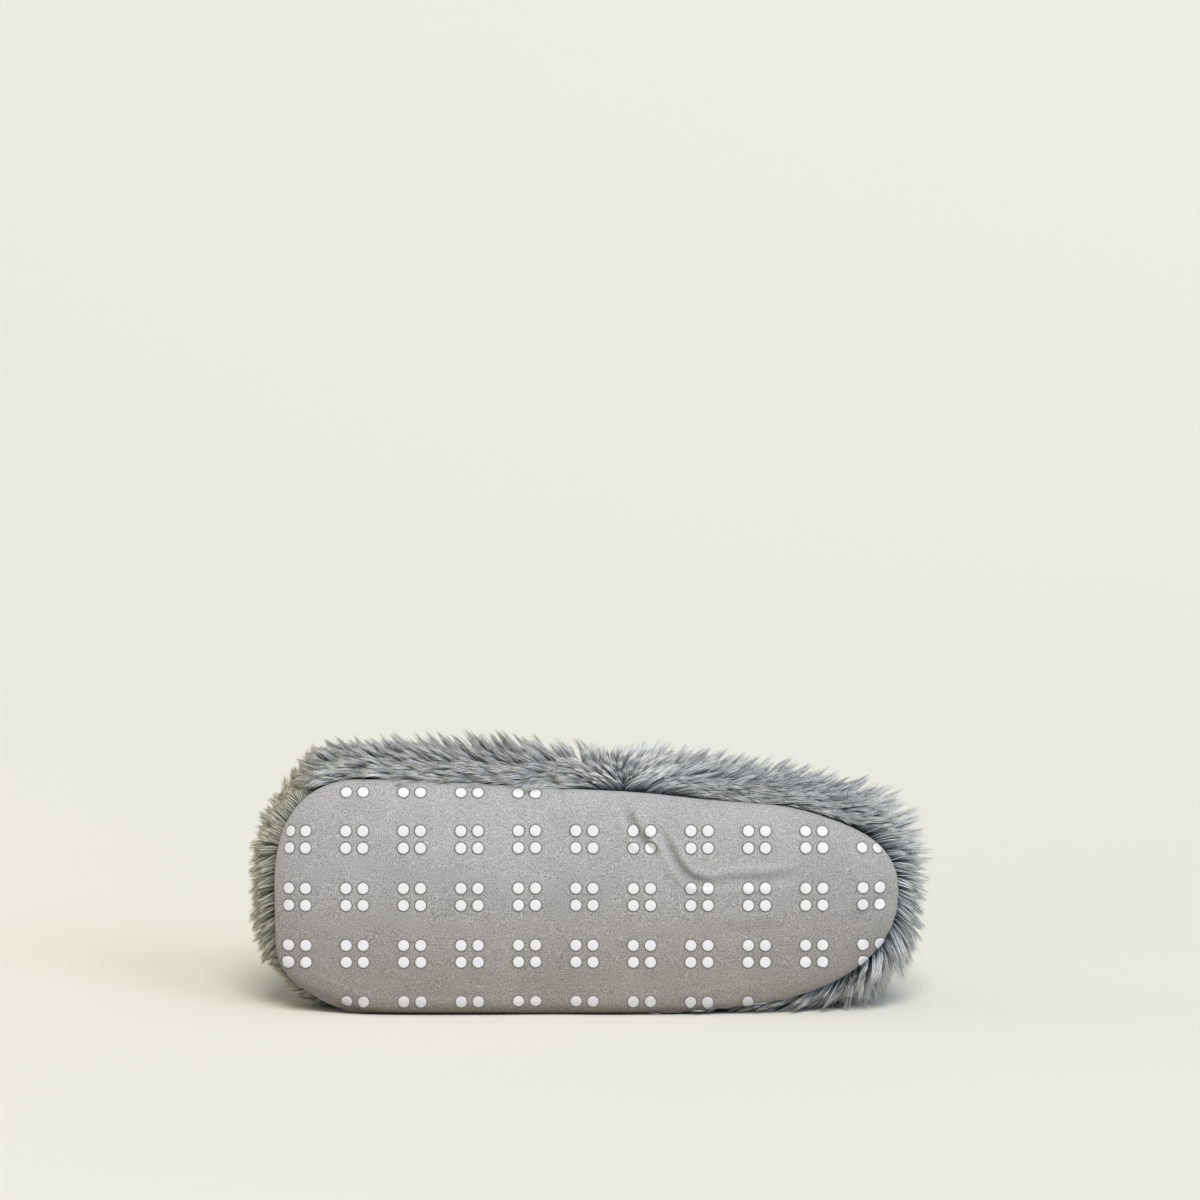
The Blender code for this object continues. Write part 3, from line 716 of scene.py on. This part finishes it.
# How the pile is combed, in listed spots: distance from the heel end, height above the floor, share of
# the way up the wall, the way it points, degrees it leans at the root and at the tip, and its length.
Comb = namedtuple("Comb", "along up rise way root tip length")
COMBS = (
    # outer side, behind the seam: a strip that lies over the sole's edge, then up and to the heel
    Comb(0.020, 0.097, 0.03, (-0.8, -0.5, 0.0), 45, 85, 0.75),
    Comb(0.035, 0.099, 0.03, (-1.0, -1.0, 0.0), 58, 118, 1.15),
    Comb(0.055, 0.100, 0.03, (-1.0, -0.9, 0.0), 58, 114, 1.20),
    Comb(0.075, 0.100, 0.03, (-1.0, -0.9, 0.0), 58, 112, 1.20),
    Comb(0.095, 0.099, 0.03, (-1.0, -0.9, 0.0), 58, 112, 1.18),
    Comb(0.115, 0.098, 0.03, (-1.0, -0.9, 0.0), 58, 114, 1.15),
    Comb(0.040, 0.100, 0.11, (-1.0, -0.6, 0.0), 35, 80, 1.00),
    Comb(0.070, 0.100, 0.11, (-1.0, -0.6, 0.0), 35, 80, 1.00),
    Comb(0.100, 0.099, 0.11, (-1.0, -0.6, 0.0), 35, 80, 1.00),
    Comb(0.025, 0.098, 0.24, (-1.0, 0.1, 0.0), 12, 45, 0.78),
    Comb(0.050, 0.100, 0.24, (-1.0, 0.0, 0.0), 10, 38, 0.95),
    Comb(0.080, 0.100, 0.24, (-1.0, 0.0, 0.0), 10, 38, 1.06),
    Comb(0.108, 0.099, 0.24, (-1.0, 0.0, 0.0), 10, 38, 1.22),
    Comb(0.028, 0.099, 0.45, (-1.0, 0.2, 0.0), 12, 42, 0.88),
    Comb(0.070, 0.100, 0.45, (-1.0, 0.2, 0.0), 10, 40, 1.14),
    Comb(0.100, 0.099, 0.45, (-1.0, 0.2, 0.0), 8, 34, 1.36),
    Comb(0.030, 0.099, 0.78, (-1.0, 0.4, 0.0), 20, 62, 1.00),
    Comb(0.065, 0.100, 0.78, (-1.0, 0.4, 0.0), 20, 62, 1.00),
    Comb(0.100, 0.099, 0.78, (-1.0, 0.4, 0.0), 20, 62, 1.00),
    # the seam, where the pile stands up in a fan
    Comb(0.134, 0.097, 0.05, (-1.0, -0.9, 0.0), 52, 112, 1.10),
    Comb(0.149, 0.096, 0.03, (-0.2, 1.0, 0.0), 10, 22, 0.85),
    Comb(0.149, 0.096, 0.20, (0.0, -0.2, 0.0), 5, 14, 1.00),
    Comb(0.149, 0.096, 0.45, (0.0, 0.2, 0.0), 4, 15, 1.02),
    Comb(0.149, 0.096, 0.78, (0.0, 0.2, 0.0), 8, 30, 0.95),
    Comb(0.162, 0.094, 0.05, (1.0, -0.9, 0.0), 52, 112, 1.10),
    # outer side, in front of the seam, and round the toe
    Comb(0.174, 0.092, 0.03, (1.0, -0.9, 0.0), 58, 112, 1.15),
    Comb(0.190, 0.090, 0.03, (1.0, -0.7, 0.0), 58, 106, 1.15),
    Comb(0.210, 0.086, 0.03, (1.0, -0.6, -0.1), 58, 100, 1.10),
    Comb(0.230, 0.081, 0.03, (1.0, -0.5, -0.2), 55, 96, 1.05),
    Comb(0.180, 0.091, 0.11, (1.0, -0.5, 0.0), 35, 78, 1.00),
    Comb(0.215, 0.085, 0.11, (1.0, -0.5, -0.1), 35, 78, 1.00),
    Comb(0.167, 0.093, 0.25, (1.0, 0.0, 0.0), 13, 42, 1.16),
    Comb(0.190, 0.090, 0.25, (1.0, 0.0, 0.0), 15, 46, 1.16),
    Comb(0.215, 0.085, 0.25, (1.0, 0.0, 0.0), 16, 48, 1.08),
    Comb(0.242, 0.076, 0.25, (1.0, 0.0, 0.1), 14, 36, 1.50),
    Comb(0.172, 0.092, 0.48, (1.0, 0.0, 0.0), 12, 40, 1.26),
    Comb(0.198, 0.088, 0.48, (1.0, -0.2, 0.0), 14, 44, 1.20),
    Comb(0.232, 0.080, 0.48, (1.0, -0.2, 0.0), 14, 40, 1.36),
    Comb(0.190, 0.090, 0.80, (1.0, -0.3, 0.0), 24, 66, 1.00),
    Comb(0.225, 0.080, 0.80, (1.0, -0.4, -0.2), 24, 66, 1.00),
    Comb(0.252, 0.069, 0.05, (0.6, -0.6, -0.4), 22, 55, 0.90),
    Comb(0.262, 0.058, 0.03, (0.2, -0.3, -0.9), 6, 24, 0.50),
    Comb(0.264, 0.045, 0.03, (0.1, -0.3, -0.9), 6, 24, 0.50),
    Comb(0.256, 0.065, 0.24, (0.5, -0.1, -0.1), 5, 16, 1.72),
    Comb(0.264, 0.046, 0.22, (0.3, -0.1, -0.9), 8, 34, 1.22),
    Comb(0.262, 0.050, 0.65, (0.4, -0.9, -0.4), 24, 64, 1.00),
    # under the toe: down to the floor, then parted and swept back along it
    Comb(0.264, 0.036, 0.08, (0.2, -0.8, -0.9), 24, 64, 1.30),
    Comb(0.262, 0.033, 0.32, (0.4, -0.4, -0.9), 8, 40, 1.60),
    Comb(0.259, 0.029, 0.06, (0.1, -0.8, -1.0), 26, 68, 1.55),
    Comb(0.256, 0.026, 0.32, (0.3, -0.5, -0.9), 8, 40, 1.55),
    Comb(0.251, 0.022, 0.32, (0.0, -0.5, -0.9), 10, 44, 1.40),
    Comb(0.250, 0.022, 0.05, (-0.9, -0.8, -0.5), 42, 88, 1.50),
    Comb(0.240, 0.017, 0.04, (-1.0, -0.7, -0.4), 48, 92, 1.30),
    Comb(0.225, 0.012, 0.04, (-1.0, -0.7, -0.2), 48, 92, 1.20),
    Comb(0.205, 0.008, 0.04, (-1.0, -0.6, -0.2), 48, 92, 1.00),
    Comb(0.242, 0.018, 0.30, (-0.6, -0.7, -0.5), 26, 66, 1.20),
    Comb(0.228, 0.013, 0.30, (-0.8, -0.6, -0.4), 30, 70, 1.10),
    # inner side, pressed on the floor
    Comb(0.195, 0.006, 0.05, (-0.7, -1.0, 0.0), 58, 95, 1.20),
    Comb(0.178, 0.004, 0.05, (-0.7, -1.0, 0.0), 60, 95, 1.05),
    Comb(0.163, 0.002, 0.05, (-0.7, -1.0, 0.0), 62, 95, 0.85),
    Comb(0.145, 0.002, 0.06, (-1.0, -0.2, 0.0), 55, 88, 0.50),
    Comb(0.120, 0.001, 0.10, (-0.8, 0.5, 0.0), 60, 88, 0.45),
    Comb(0.090, 0.001, 0.10, (-0.4, 1.0, 0.0), 70, 90, 0.40),
    Comb(0.060, 0.001, 0.10, (-0.4, 1.0, 0.0), 75, 92, 0.40),
    Comb(0.035, 0.002, 0.10, (-0.2, 1.0, 0.0), 80, 95, 0.40),
    Comb(0.050, 0.001, 0.60, (-0.6, 0.8, 0.0), 30, 70, 0.80),
    Comb(0.100, 0.001, 0.60, (-0.6, 0.8, 0.0), 30, 70, 0.80),
    Comb(0.180, 0.004, 0.60, (0.8, 0.2, 0.0), 30, 70, 0.90),
    # round the heel: out and a little down, flat and short at both corners
    Comb(0.018, 0.008, 0.10, (0.2, 1.0, 0.0), 82, 98, 0.45),
    Comb(0.010, 0.013, 0.03, (-0.8, -0.4, 0.7), 0, 15, 0.80),
    Comb(0.012, 0.012, 0.10, (-0.8, -0.4, 0.7), 0, 15, 0.80),
    Comb(0.009, 0.014, 0.15, (-0.8, -0.4, 0.7), 0, 15, 0.80),
    Comb(0.005, 0.021, 0.10, (0.1, 1.0, 0.1), 70, 92, 0.45),
    Comb(0.010, 0.015, 0.30, (0.1, 1.0, 0.1), 80, 98, 0.50),
    Comb(0.002, 0.030, 0.07, (0.0, 0.1, -1.0), 8, 40, 1.15),
    Comb(0.000, 0.042, 0.08, (0.0, 0.0, -0.9), 8, 34, 0.60),
    Comb(0.000, 0.055, 0.08, (0.0, 0.0, -0.8), 8, 30, 0.66),
    Comb(0.001, 0.068, 0.08, (0.0, 0.0, -0.3), 8, 28, 0.62),
    Comb(0.003, 0.077, 0.08, (0.0, 0.2, 0.5), 14, 42, 0.72),
    Comb(0.002, 0.032, 0.40, (0.0, 0.9, -0.4), 40, 75, 0.70),
    Comb(0.000, 0.050, 0.40, (0.0, 0.8, -0.4), 18, 50, 0.80),
    Comb(0.001, 0.068, 0.40, (0.0, 0.8, 0.2), 20, 55, 0.80),
    Comb(0.007, 0.086, 0.08, (-0.2, 0.8, 0.2), 45, 75, 0.62),
    Comb(0.012, 0.092, 0.08, (0.2, 1.0, 0.3), 70, 95, 0.50),
    Comb(0.008, 0.087, 0.35, (-0.1, 1.0, 0.2), 45, 75, 0.72),
    Comb(0.000, 0.050, 0.80, (0.0, 1.0, 0.0), 24, 64, 1.00),
    Comb(0.015, 0.095, 0.26, (0.7, 0.1, 0.7), 15, 24, 1.30),
    Comb(0.017, 0.096, 0.46, (0.7, 0.1, 0.7), 15, 24, 1.30),
)


def unit(vectors):
    return vectors / np.maximum(np.linalg.norm(vectors, axis=-1, keepdims=True), 1e-9)


def scattered(spread, count):
    """Random places on the wall, even over its area: points, normals and share of the way to the collar."""
    rows, ribs = hide_rings.shape[:2]
    following = np.roll(hide_rings, -1, axis=1)
    across = following[:-1] - hide_rings[:-1]
    upwards = hide_rings[1:] - hide_rings[:-1]
    areas = np.linalg.norm(np.cross(across, upwards), axis=2)
    pressed_flat = hide_rings[:-1, :, 2] < PRESSED_HEIGHT
    areas = np.where(pressed_flat, areas * PRESSED_DENSITY, areas)
    areas[: rows // 8] *= EDGE_DENSITY
    along_seam = np.exp(-(((hide_rings[:-1, :, 0] - heel_end - SEAM_ALONG) / SEAM_REACH) ** 2))
    areas *= 1 + SEAM_DENSITY * along_seam
    areas[rows // 2 :] *= UPPER_DENSITY
    areas = areas.ravel()
    cells = spread.choice(len(areas), size=count, p=areas / areas.sum())
    row, rib = np.divmod(cells, ribs)
    up, along = spread.random((2, count))
    after = (rib + 1) % ribs

    def blended(grid):
        low = grid[row, rib] * (1 - along)[:, None] + grid[row, after] * along[:, None]
        high = grid[row + 1, rib] * (1 - along)[:, None] + grid[row + 1, after] * along[:, None]
        return low * (1 - up)[:, None] + high * up[:, None]

    return blended(hide_rings), unit(blended(hide_normals)), (row + up) / (rows - 1)


def comb_places():
    """Where the combing spots lie on the wall."""
    feet = hide_rings[0][:, (0, 2)] - (heel_end, 0)
    places = []
    for comb in COMBS:
        rib = np.linalg.norm(feet - (comb.along, comb.up), axis=1).argmin()
        places.append(hide_rings[round(comb.rise * (len(hide_rings) - 1)), rib])
    return np.array(places)


def combed(places, normals):
    """The way fur points at places on the wall, its leans at root and tip, and its share of full length."""
    away = np.linalg.norm(places[:, None, :] - comb_places()[None, :, :], axis=2)
    weights = np.exp(-((away / COMB_REACH) ** 2) / 2) + 1e-6 / (away + 1e-3) ** 2
    weights /= weights.sum(axis=1, keepdims=True)
    way = weights @ unit(np.array([comb.way for comb in COMBS]))
    way = unit(way - normals * np.sum(way * normals, axis=1, keepdims=True))
    leans = np.radians(weights @ np.array([(comb.root, comb.tip) for comb in COMBS]))
    return way, leans, weights @ np.array([comb.length for comb in COMBS])


def swayed(normals, nap, angles):
    """The nap turned by angles about the normals."""
    return nap * np.cos(angles)[:, None] + np.cross(normals, nap) * np.sin(angles)[:, None]


def strand_lines(places, normals, nap, leans, lengths):
    """Four points along each strand: it rises from its root and bends over with the nap."""
    lines = [places - normals * STRAND_RADIUS * 2]
    for start, end in zip(RING_SHARES, RING_SHARES[1:]):
        lean = leans[:, 0] + (leans[:, 1] - leans[:, 0]) * (start + end) / 2
        way = normals * np.cos(lean)[:, None] + nap * np.sin(lean)[:, None]
        lines.append(lines[-1] + way * (lengths * (end - start))[:, None])
    return np.stack(lines, axis=1)


def settled(lines):
    """Strands laid over the sole where they would run into it, and kept off the floor."""
    for strand in np.flatnonzero(lines[..., 1].min(axis=1) < tread + FEATHER_HEIGHT + 0.004):
        steps = np.diff(lines[strand], axis=0)
        for ring, step in enumerate(steps, start=1):
            point = Vector(lines[strand, ring - 1] + step)
            place, normal, face, gap = cover_tree.find_nearest(point)
            if (point - place).dot(normal) < SOLE_CLEARANCE:
                point = place + normal * SOLE_CLEARANCE
            lines[strand, ring] = point
    lines[..., 2] = np.maximum(lines[..., 2], FLOOR_CLEARANCE)
    return lines


spread = np.random.default_rng(FUR_SEED)
lock_places, lock_normals = scattered(spread, LOCKS)[:2]
lock_nap, lock_leans, lock_lengths = combed(lock_places, lock_normals)
lower_toe = smooth_step(lock_places[:, 0] - heel_end, 0.220, 0.250)
lower_toe *= smooth_step(-lock_places[:, 2], -0.050, -0.020)
lock_sway = LOCK_SWAY * (1 + TOE_SWAY * lower_toe) * spread.normal(0, 0.6, LOCKS)
lock_nap = swayed(lock_normals, lock_nap, lock_sway)
lock_lengths *= STRAND_LENGTH * (1 + LENGTH_SPREAD * spread.uniform(-1, 1, LOCKS))
lock_leans *= 1 + LEAN_SPREAD * spread.uniform(-1, 1, (LOCKS, 1))
lock_lines = strand_lines(lock_places, lock_normals, lock_nap, lock_leans, lock_lengths)
lock_shade = spread.random(LOCKS)
lock_tree = KDTree(LOCKS)
for index, place in enumerate(lock_places):
    lock_tree.insert(place, index)
lock_tree.balance()

roots, root_normals, root_rise = scattered(spread, STRANDS)
lock_of = np.array([lock_tree.find(place)[1] for place in roots])
nap, leans = combed(roots, root_normals)[:2]
nap = swayed(root_normals, nap, STRAND_SWAY * spread.normal(0, 0.7, STRANDS))
lengths = lock_lengths[lock_of] * spread.uniform(0.72, 1.08, STRANDS)
lines = strand_lines(roots, root_normals, nap, leans, lengths)
pull = LOCK_PULL * spread.uniform(0.5, 1.0, STRANDS)
for ring, share in enumerate(RING_SHARES):
    lines[:, ring] += (lock_lines[lock_of, ring] - lines[:, ring]) * (pull * share**1.3)[:, None]
lines = settled(lines)
shade = LOCK_SHADE * lock_shade[lock_of] + (1 - LOCK_SHADE) * spread.random(STRANDS)
root_along = roots[:, 0] - heel_end
# Painted light at the toe end, the heel end and the seam; painted shade on the rear top and on fur under the
# sole.
shade += TOE_PAINTED_LIGHT * smooth_step(root_along, 0.235, 0.262)
shade += HEEL_PAINTED_LIGHT * smooth_step(-root_along, -0.020, 0.0)
shade += SEAM_PAINTED_LIGHT * np.exp(-(((root_along - SEAM_ALONG) / SEAM_REACH) ** 2))
rear_top = smooth_step(root_along, 0.015, 0.040) * smooth_step(-root_along, -0.130, -0.105)
rear_top *= smooth_step(root_rise, 0.10, 0.28) * smooth_step(-root_rise, -0.62, -0.42)
shade -= REAR_PAINTED_SHADE * rear_top
under_sole = smooth_step(-roots[:, 2], -0.010, -0.004) * smooth_step(-root_along, -0.220, -0.200)
shade -= UNDER_PAINTED_SHADE * under_sole * smooth_step(-root_rise, -0.35, -0.20)
shade = np.floor(np.clip(shade, 0, 0.999) * SHADES)
# Painted light: fibres low on the wall near the heel end get a warm tint for light bounced off the floor.
painted_bounce = (1 - smooth_step(root_along, *BOUNCE_SPAN)) * smooth_step(-root_rise, -0.50, -0.20)
painted_bounce = np.floor(np.clip(painted_bounce * (BOUNCE_LEVELS - 1) + spread.random(STRANDS), 0, BOUNCE_LEVELS - 1))


def strand_mesh(name, lines, shade, painted_bounce):
    """Joined three-sided strands that taper to a point, with their shade, painted warm bounce light and place
    along them.
    """
    count = len(lines)
    sides = 3
    rings = len(RING_WIDTHS)
    ways = unit(np.gradient(lines, axis=1))
    aside = unit(np.cross(ways, [0.31, 0.53, 0.79]))
    above = np.cross(aside, ways)
    corners = []
    for ring, width in enumerate(RING_WIDTHS):
        for side in range(sides):
            turn = 2 * math.pi * side / sides
            offset = aside[:, ring] * math.cos(turn) + above[:, ring] * math.sin(turn)
            corners.append(lines[:, ring] + offset * STRAND_RADIUS * width)
    corners.append(lines[:, -1])
    points = np.stack(corners, axis=1)
    points[..., 2] = np.maximum(points[..., 2], 0)
    tip = rings * sides
    quads, tips = [], []
    for side in range(sides):
        after = (side + 1) % sides
        for ring in range(rings - 1):
            low = ring * sides
            quads.append((low + side, low + after, low + sides + after, low + sides + side))
        tips.append((tip - sides + side, tip - sides + after, tip))
    tips.append((2, 1, 0))
    per_strand = tip + 1
    shift = (np.arange(count) * per_strand)[:, None]
    corner_list = np.concatenate([np.array(quads).ravel(), np.array(tips).ravel()])
    sizes = np.array([4] * len(quads) + [3] * len(tips))
    mesh = bpy.data.meshes.new(name)
    mesh.vertices.add(count * per_strand)
    mesh.vertices.foreach_set("co", points.astype(np.float32).ravel())
    mesh.loops.add(count * len(corner_list))
    mesh.loops.foreach_set("vertex_index", (shift + corner_list).astype(np.int32).ravel())
    starts = np.concatenate([[0], np.cumsum(sizes)[:-1]])
    mesh.polygons.add(count * len(sizes))
    face_starts = (np.arange(count) * len(corner_list))[:, None] + starts
    mesh.polygons.foreach_set("loop_start", face_starts.astype(np.int32).ravel())
    mesh.update(calc_edges=True)
    along = np.array([RING_SHARES[ring] for ring in range(rings) for side in range(sides)] + [1.0])
    kept = {
        "along": np.tile(along, count),
        "shade": np.repeat(shade / (SHADES - 1), per_strand),
        "painted_bounce": np.repeat(painted_bounce / (BOUNCE_LEVELS - 1), per_strand),
    }
    for title, values in kept.items():
        mesh.attributes.new(title, "FLOAT", "POINT").data.foreach_set("value", values.astype(np.float32))
    side_share = np.array([(corner % sides) / sides for corner in corner_list])
    column = (shade * BOUNCE_LEVELS + painted_bounce)[:, None] + 0.15 + 0.7 * side_share
    row = np.broadcast_to(0.02 + 0.96 * along[corner_list], column.shape)
    chart = np.stack([column / (SHADES * BOUNCE_LEVELS), row], axis=2)
    mesh.uv_layers.new(name="OFBake").data.foreach_set("uv", chart.astype(np.float32).ravel())
    mesh.shade_smooth()
    return mesh


material, tree, shader = new_material("fur fibre")
along = add_node(tree, "ShaderNodeAttribute", attribute_name="along").outputs["Fac"]
tone = add_node(tree, "ShaderNodeAttribute", attribute_name="shade").outputs["Fac"]
# Painted shade at the roots and painted light at the tips of the fibres.
ramp = add_node(tree, "ShaderNodeValToRGB", {"Fac": along})
ramp.color_ramp.elements[0].color = (*FUR_ROOT, 1)
ramp.color_ramp.elements[1].color = (*FUR_TIP, 1)
ramp.color_ramp.elements.new(0.45).color = (*FUR_MIDDLE, 1)
factor = add_node(tree, "ShaderNodeMapRange", {"Value": tone, "To Min": 0.48, "To Max": 1.50})
fibre = scaled(tree, ramp.outputs["Color"], factor.outputs["Result"])
# Painted warm bounce light on the heel-end fibres.
bounce_share = add_node(tree, "ShaderNodeAttribute", attribute_name="painted_bounce").outputs["Fac"]
tree.links.new(tinted(tree, fibre, bounce_share, (1, 1, 1), FUR_PAINTED_BOUNCE), shader.inputs["Base Color"])
shader.inputs["Roughness"].default_value = 0.5
shader.inputs["Specular IOR Level"].default_value = 0.35

order = np.argsort(roots[:, 0])
for name, members in zip(FUR_PIECES, np.array_split(order, len(FUR_PIECES))):
    fur = link_piece(name, strand_mesh(name, lines[members], shade[members], painted_bounce[members]))
    fur.data.materials.append(material)


# Stage. A seamless cream paper sweep: the floor runs back and rises in a long shallow curve. It is lit by a
# soft sky, a large lamp in front and above, a cooler one from the right and a small warm one from the left.
SWEEP_HALF_WIDTH = 4.0
SWEEP_FRONT = -3.5
SWEEP_RISE_START = 0.2
SWEEP_RADIUS = 5.5
SWEEP_TURN = math.radians(50)
SWEEP_STEPS = 24
SWEEP_COLOUR = (0.742, 0.742, 0.690)
SKY_COLOUR = (0.937, 1.0, 0.96)
SKY_STRENGTH = 0.34
LAMP_AIM = (0.0, 0.0, 0.05)

sweep = bmesh.new()
edge = [sweep.verts.new((-SWEEP_HALF_WIDTH, SWEEP_FRONT, 0))]
for step in range(SWEEP_STEPS + 1):
    turn = SWEEP_TURN * step / SWEEP_STEPS
    y = SWEEP_RISE_START + SWEEP_RADIUS * math.sin(turn)
    edge.append(sweep.verts.new((-SWEEP_HALF_WIDTH, y, SWEEP_RADIUS * (1 - math.cos(turn)))))
edges = [sweep.edges.new(pair) for pair in zip(edge, edge[1:])]
widened = bmesh.ops.extrude_edge_only(sweep, edges=edges)["geom"]
moved = [item for item in widened if isinstance(item, bmesh.types.BMVert)]
bmesh.ops.translate(sweep, verts=moved, vec=(2 * SWEEP_HALF_WIDTH, 0, 0))
bmesh.ops.recalc_face_normals(sweep, faces=sweep.faces)
sweep_mesh = bpy.data.meshes.new("sweep")
sweep.to_mesh(sweep_mesh)
sweep.free()
sweep_mesh.shade_smooth()
material, tree, shader = new_material("cream paper")
shader.inputs["Base Color"].default_value = (*SWEEP_COLOUR, 1)
shader.inputs["Roughness"].default_value = 0.9
shader.inputs["Specular IOR Level"].default_value = 0.1
sweep_mesh.materials.append(material)
backdrop = bpy.data.objects.new("sweep", sweep_mesh)
bpy.context.scene.collection.objects.link(backdrop)

world = bpy.data.worlds.new("soft sky")
world.use_nodes = True
world.node_tree.nodes["Background"].inputs["Color"].default_value = (*SKY_COLOUR, 1)
world.node_tree.nodes["Background"].inputs["Strength"].default_value = SKY_STRENGTH
bpy.context.scene.world = world


def add_lamp(name, place, size, power, colour):
    """A square soft lamp that faces the slipper."""
    light = bpy.data.lights.new(name, "AREA")
    light.shape = "SQUARE"
    light.size = size
    light.energy = power
    light.color = colour
    lamp = bpy.data.objects.new(name, light)
    bpy.context.scene.collection.objects.link(lamp)
    lamp.location = place
    lamp.rotation_euler = (Vector(LAMP_AIM) - Vector(place)).to_track_quat("-Z", "Y").to_euler()


add_lamp("key", place=(1.0, -11.2, 10.4), size=6.4, power=2100.0, colour=(1.068, 1.0, 0.921))
add_lamp("front", place=(8.4, -10.4, 7.2), size=6.0, power=690.0, colour=(0.859, 1.0, 1.275))
add_lamp("fill", place=(-1.0, 0.15, 0.45), size=0.7, power=1.15, colour=(1.30, 1.0, 0.60))


# Camera. Eight degrees above the slipper, square to its sole, with the slipper low in the frame.
CAMERA_PLACE = (0.0063, -1.6812, 0.2796)
CAMERA_AIM = (0.0063, -0.0473, 0.1763)
CAMERA_LENS = 117.41

camera_data = bpy.data.cameras.new("camera")
camera_data.lens = CAMERA_LENS
camera_data.sensor_width = 36.0
camera = bpy.data.objects.new("camera", camera_data)
bpy.context.scene.collection.objects.link(camera)
camera.location = CAMERA_PLACE
camera.rotation_euler = (Vector(CAMERA_AIM) - Vector(CAMERA_PLACE)).to_track_quat("-Z", "Y").to_euler()
bpy.context.scene.camera = camera
bpy.context.scene.view_settings.view_transform = "Standard"
